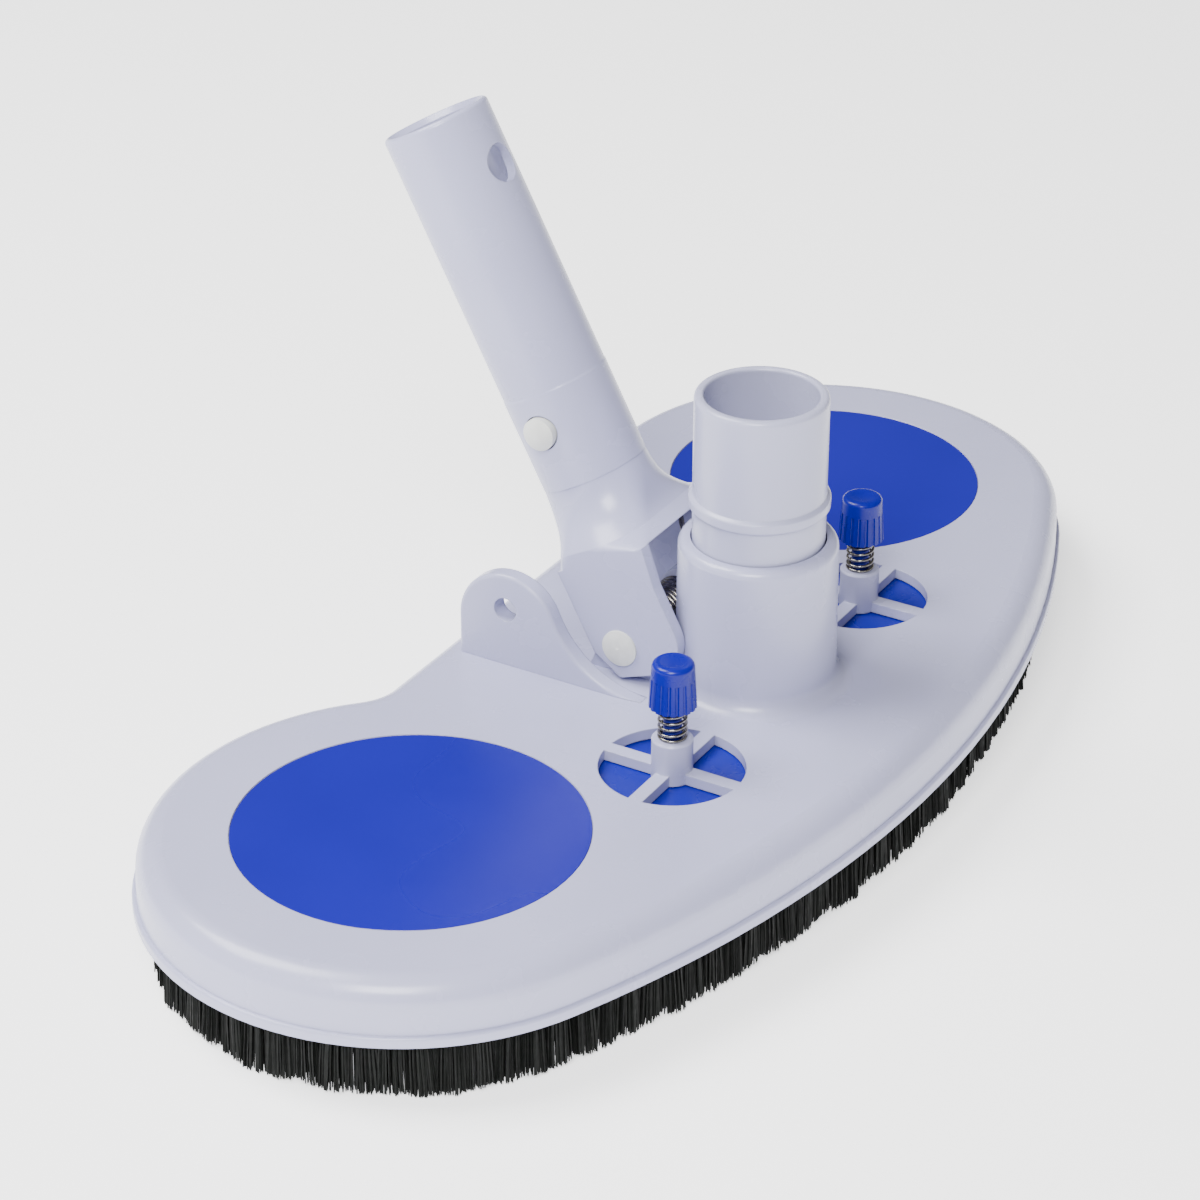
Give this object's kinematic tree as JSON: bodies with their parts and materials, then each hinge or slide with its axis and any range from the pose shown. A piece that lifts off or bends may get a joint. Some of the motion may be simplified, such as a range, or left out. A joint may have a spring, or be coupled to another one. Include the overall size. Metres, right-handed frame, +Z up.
{
  "type": "manual vacuum head",
  "caption": "Weighted pool vacuum head: kidney-shaped white deck on a black bristle ring, swivel hose cuff, sprung relief valves and a tilting sprung pole handle.",
  "frame": {"origin": "bottom centre of the head's box, on the floor that the bristle tips stand on", "axes": "+X along the head's length to its right lobe, -Y towards its bowed front, +Z up"},
  "size_m": [0.3614, 0.1664, 0.1784],
  "materials": {
    "white_abs": "gloss white ABS, cool tint",
    "white_abs_collar": "gloss white ABS, cool tint",
    "white_abs_cuff": "gloss white ABS, cool tint",
    "white_abs_handle": "gloss white ABS, cool tint",
    "stainless_steel": "stainless screws",
    "spring_steel": "dark drawn spring wire",
    "natural_nylon": "satin natural nylon, cream",
    "black_plastic": "matt black polypropylene",
    "bristle_nylon": "black nylon bristle",
    "blue_label": "gloss blue film",
    "blue_valve": "blue moulded plastic",
    "blue_knob": "gloss blue moulded plastic",
    "cast_iron": "cast iron"
  },
  "bodies": {
    "deck": {"body_shell": "white_abs", "hose_collar": "white_abs_collar", "ear_left": "white_abs", "ear_right": "white_abs", "pivot_lug_left": "white_abs", "pivot_lug_right": "white_abs", "label_left": "blue_label", "label_right": "blue_label", "swivel_retainer": "white_abs", "retainer_screws": "stainless_steel", "brush_base": "black_plastic", "brush_bristles": "bristle_nylon", "brush_screws": "stainless_steel", "weight_left": "cast_iron", "weight_right": "cast_iron", "weight_cover_left": "white_abs", "weight_cover_right": "white_abs", "cover_screws": "stainless_steel", "torsion_spring": "spring_steel", "valve_spring_left": "spring_steel", "valve_spring_right": "spring_steel"},
    "swivel": {"hose_swivel": "white_abs_cuff"},
    "handle": {"handle_yoke": "white_abs_handle", "pivot_pin": "natural_nylon", "pivot_pin_cap": "natural_nylon", "clip_spring": "natural_nylon"},
    "left_button": {"button_left": "natural_nylon"},
    "right_button": {"button_right": "natural_nylon"},
    "left_valve": {"valve_plate_left": "blue_valve"},
    "right_valve": {"valve_plate_right": "blue_valve"},
    "left_knob": {"valve_knob_left": "blue_knob"},
    "right_knob": {"valve_knob_right": "blue_knob"}
  },
  "joints": [
    {"name": "handle_tilt", "type": "hinge", "parent": "deck", "child": "handle", "pos_m": [0, 0.0017, 0.0441], "axis": [-1, 0, 0], "range_deg": [0, 52], "stiffness_Nm_per_rad": 0.15, "springref_deg": -28.65, "deforming": ["torsion_spring"]},
    {"name": "hose_swivel_turn", "type": "hinge", "parent": "deck", "child": "swivel", "pos_m": [0, -0.0272, 0.094], "axis": [0, 0, 1], "continuous": true},
    {"name": "button_left_press", "type": "slide", "parent": "handle", "child": "left_button", "axis": [1, 0, 0], "range_m": [0, 0.0034], "stiffness_N_per_m": 800, "springref_m": -0.002, "deforming": ["clip_spring"]},
    {"name": "button_right_press", "type": "slide", "parent": "handle", "child": "right_button", "axis": [-1, 0, 0], "range_m": [0, 0.0034], "stiffness_N_per_m": 800, "springref_m": -0.002, "deforming": ["clip_spring"]},
    {"name": "valve_left_open", "type": "slide", "parent": "deck", "child": "left_valve", "axis": [0, 0, -1], "range_m": [0, 0.005], "stiffness_N_per_m": 350, "springref_m": -0.004, "deforming": ["valve_spring_left"]},
    {"name": "valve_left_knob_turn", "type": "hinge", "parent": "left_valve", "child": "left_knob", "pos_m": [-0.0524, -0.0314, 0.058], "axis": [0, 0, 1], "continuous": true},
    {"name": "valve_right_open", "type": "slide", "parent": "deck", "child": "right_valve", "axis": [0, 0, -1], "range_m": [0, 0.005], "stiffness_N_per_m": 350, "springref_m": -0.004, "deforming": ["valve_spring_right"]},
    {"name": "valve_right_knob_turn", "type": "hinge", "parent": "right_valve", "child": "right_knob", "pos_m": [0.0524, -0.0314, 0.058], "axis": [0, 0, 1], "continuous": true}
  ]
}
